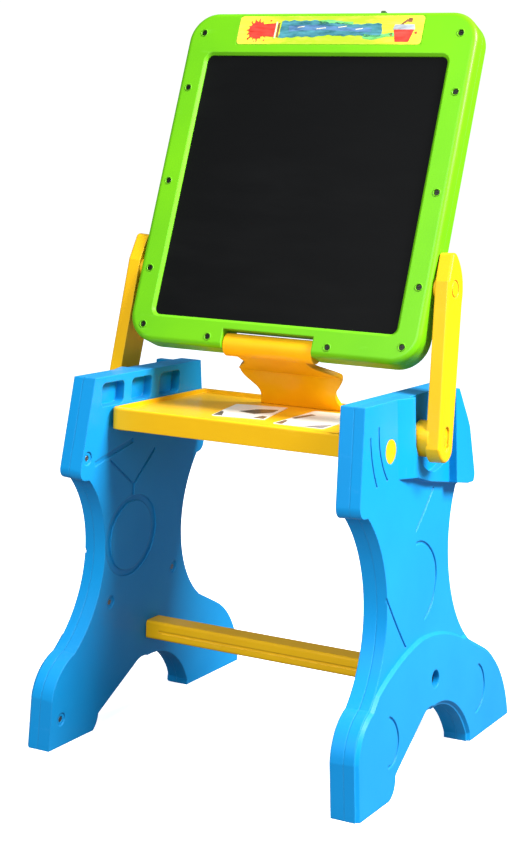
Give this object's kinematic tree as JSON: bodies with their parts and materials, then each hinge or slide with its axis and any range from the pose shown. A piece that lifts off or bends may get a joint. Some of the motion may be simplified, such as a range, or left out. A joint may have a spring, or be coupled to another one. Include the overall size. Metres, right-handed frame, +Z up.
{
  "type": "children's drawing easel desk",
  "caption": "Children's drawing easel on two splayed side legs; swinging arms lower the framed board onto the legs to make a desk over a tray.",
  "frame": {"origin": "on the floor under the middle of the four feet", "axes": "+Z up, +X to the right of a child at the board, -Y toward the child"},
  "size_m": [0.4982, 0.5, 0.9666],
  "materials": {
    "blue_plastic": "moulded, semi-gloss",
    "green_plastic": "moulded, glossy",
    "yellow_plastic": "moulded, glossy",
    "amber_plastic": "moulded, semi-gloss",
    "black_board": "matt writing surface",
    "white_board": "gloss dry-wipe surface",
    "dark_plastic": "matt",
    "screw_steel": "dull",
    "printed_card": "printed card",
    "printed_label": "printed sticker"
  },
  "bodies": {
    "frame": {"right_leg_outer_shell": "blue_plastic", "left_leg_outer_shell": "blue_plastic", "right_leg_inner_shell": "blue_plastic", "left_leg_inner_shell": "blue_plastic", "right_leg_screws": "screw_steel", "left_leg_screws": "screw_steel", "desk_tray": "yellow_plastic", "tray_card_left": "printed_card", "tray_card_right": "printed_card", "crossbar": "yellow_plastic", "crossbar_screws": "screw_steel", "right_arm_pin": "amber_plastic", "left_arm_pin": "amber_plastic"},
    "right_arm": {"right_arm": "yellow_plastic"},
    "left_arm": {"left_arm": "yellow_plastic"},
    "board": {"board_front_frame": "green_plastic", "board_back_frame": "green_plastic", "drawing_panel": "black_board", "rear_panel": "white_board", "frame_screws": "screw_steel", "header_label": "printed_label", "top_nib": "dark_plastic", "prop_hinge_pin": "amber_plastic", "right_tilt_stud": "amber_plastic", "left_tilt_stud": "amber_plastic"},
    "prop": {"prop": "amber_plastic"}
  },
  "joints": [
    {"name": "right_arm_fold", "type": "hinge", "parent": "frame", "child": "right_arm", "pos_m": [0.2385, -0.052, 0.434], "axis": [1, 0, 0], "range_deg": [0, 75.4]},
    {"name": "left_arm_fold", "type": "hinge", "parent": "frame", "child": "left_arm", "pos_m": [-0.2385, -0.052, 0.434], "axis": [1, 0, 0], "range_deg": [0, 75.5]},
    {"name": "board_tilt", "type": "hinge", "parent": "right_arm", "child": "board", "pos_m": [0.222, -0.02339, 0.6188], "axis": [1, 0, 0], "range_deg": [-145.7, 0]},
    {"name": "prop_fold", "type": "hinge", "parent": "board", "child": "prop", "pos_m": [0, -0.05591, 0.52847], "axis": [1, 0, 0], "range_deg": [0, 93.7]}
  ],
  "couplings": [
    {"joint": "left_arm_fold", "follows": "right_arm_fold", "ratio": 1},
    {"joint": "board_tilt", "follows": "right_arm_fold", "ratio": -1.931},
    {"joint": "prop_fold", "follows": "right_arm_fold", "ratio": 1.2414}
  ]
}
